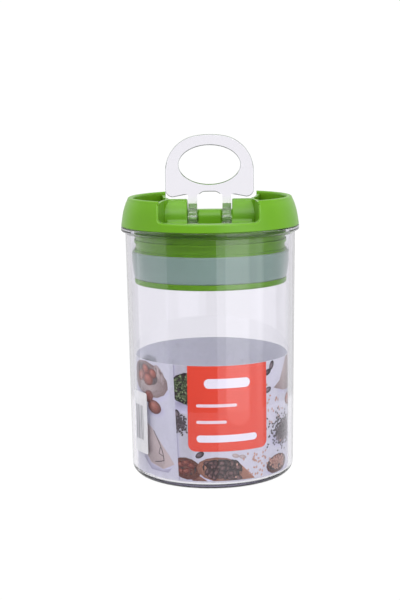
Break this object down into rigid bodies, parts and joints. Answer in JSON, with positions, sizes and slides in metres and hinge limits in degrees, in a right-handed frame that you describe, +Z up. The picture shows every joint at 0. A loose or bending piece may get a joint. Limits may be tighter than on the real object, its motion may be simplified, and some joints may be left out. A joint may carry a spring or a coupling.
{
  "type": "airtight canister",
  "caption": "Clear round canister with a flared lid ring, a silicone-sealed plug and an upright clear lever that folds down to squeeze the seal.",
  "frame": {"origin": "centre of the canister's base, on the surface it stands on", "axes": "+Z up along the canister's axis, -Y towards the front that the lever folds to, +X to the right seen from the front"},
  "size_m": [0.105, 0.105, 0.201],
  "materials": {
    "clear_body": "clear, polished",
    "clear_lever": "clear, polished",
    "green_plastic": "satin gloss",
    "silicone": "matt, slightly see-through",
    "printed_paper": "satin print",
    "sticker_paper": "matt",
    "steel": "fine brushed"
  },
  "bodies": {
    "canister": {"canister_body": "clear_body", "label_insert": "printed_paper", "label_sticker": "sticker_paper"},
    "lid": {"lid_shell": "green_plastic", "lid_core": "green_plastic", "silicone_seal": "silicone"},
    "plunger": {"pressure_plate": "green_plastic", "plunger_post": "green_plastic", "plate_screws": "steel", "hinge_pin": "green_plastic"},
    "lever": {"lever": "clear_lever"}
  },
  "joints": [
    {"name": "lid_lift", "type": "slide", "parent": "canister", "child": "lid", "axis": [0, 0, 1], "range_m": [0, 0.06]},
    {"name": "plunger_lift", "type": "slide", "parent": "lid", "child": "plunger", "axis": [0, 0, 1], "range_m": [0, 0.002], "deforming": ["silicone_seal"]},
    {"name": "lever_fold", "type": "hinge", "parent": "plunger", "child": "lever", "pos_m": [0, 0, 0.152], "axis": [1, 0, 0], "range_deg": [0, 90]}
  ],
  "couplings": [
    {"joint": "plunger_lift", "follows": "lever_fold", "m_per_rad": 0.0012732}
  ]
}
